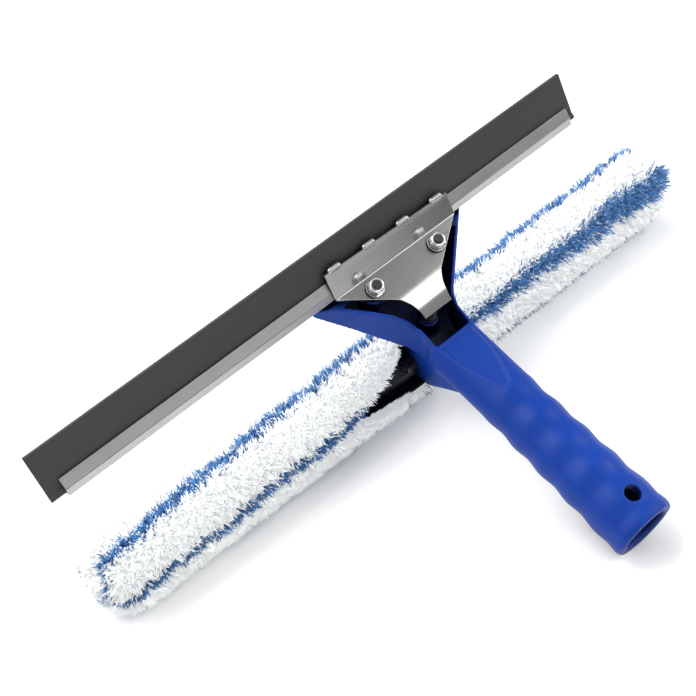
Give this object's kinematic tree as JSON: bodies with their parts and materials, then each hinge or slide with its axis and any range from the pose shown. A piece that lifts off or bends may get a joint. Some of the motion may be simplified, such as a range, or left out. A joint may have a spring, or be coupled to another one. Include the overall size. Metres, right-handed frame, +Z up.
{
  "type": "window cleaning squeegee",
  "caption": "Window cleaning hand tool: a rubber squeegee blade in a slide-out channel under a rocking clamp plate, with a microfibre scrubber sleeve on a T-bar, on one ribbed handle.",
  "frame": {"origin": "middle of the bottom of the tool's box, on the table it lies on", "axes": "+X along the blade, +Y from the grip's end towards the blade, +Z up from the table"},
  "size_m": [0.414, 0.2059, 0.1309],
  "materials": {
    "handle_plastic": "moulded, fine satin",
    "polished_steel": "polished stainless sheet",
    "channel_steel": "mill finish stainless",
    "fastener_steel": "bright plated",
    "dark_steel": "blackened spring and bolt steel",
    "blade_rubber": "smooth soft sheen",
    "bar_plastic": "moulded",
    "pile_fabric": "tufted microfibre pile, blue stripes",
    "tape_fabric": "woven hook and loop tape"
  },
  "bodies": {
    "handle": {"handle_body": "handle_plastic", "clamp_bolt_left": "dark_steel", "clamp_bolt_right": "dark_steel", "clamp_nut_left": "fastener_steel", "clamp_nut_right": "fastener_steel", "clamp_washer_left": "fastener_steel", "clamp_washer_right": "fastener_steel", "tongue_spring": "dark_steel", "t_bar": "bar_plastic", "stem_bolt": "dark_steel", "stem_nut": "dark_steel", "stem_washer": "dark_steel", "sleeve_pile": "pile_fabric", "sleeve_end_left": "pile_fabric", "sleeve_end_right": "pile_fabric", "loop_tape": "tape_fabric", "hook_tape": "tape_fabric"},
    "clamp": {"clamp_plate": "polished_steel"},
    "channel_body": {"channel": "channel_steel"},
    "blade": {"rubber_blade": "blade_rubber"}
  },
  "joints": [
    {"name": "clamp_rock", "type": "hinge", "parent": "handle", "child": "clamp", "pos_m": [0.01105, 0.06533, 0.10068], "axis": [1, 0, 0], "range_deg": [0, 8], "stiffness_Nm_per_rad": 1.5, "springref_deg": -11.46, "deforming": ["tongue_spring"]},
    {"name": "channel_slide", "type": "slide", "parent": "handle", "child": "channel_body", "axis": [1, 0, 0], "range_m": [-0.0916, 0.1676]},
    {"name": "rubber_slide", "type": "slide", "parent": "channel_body", "child": "blade", "axis": [1, 0, 0], "range_m": [-0.004, 0.0086]}
  ]
}
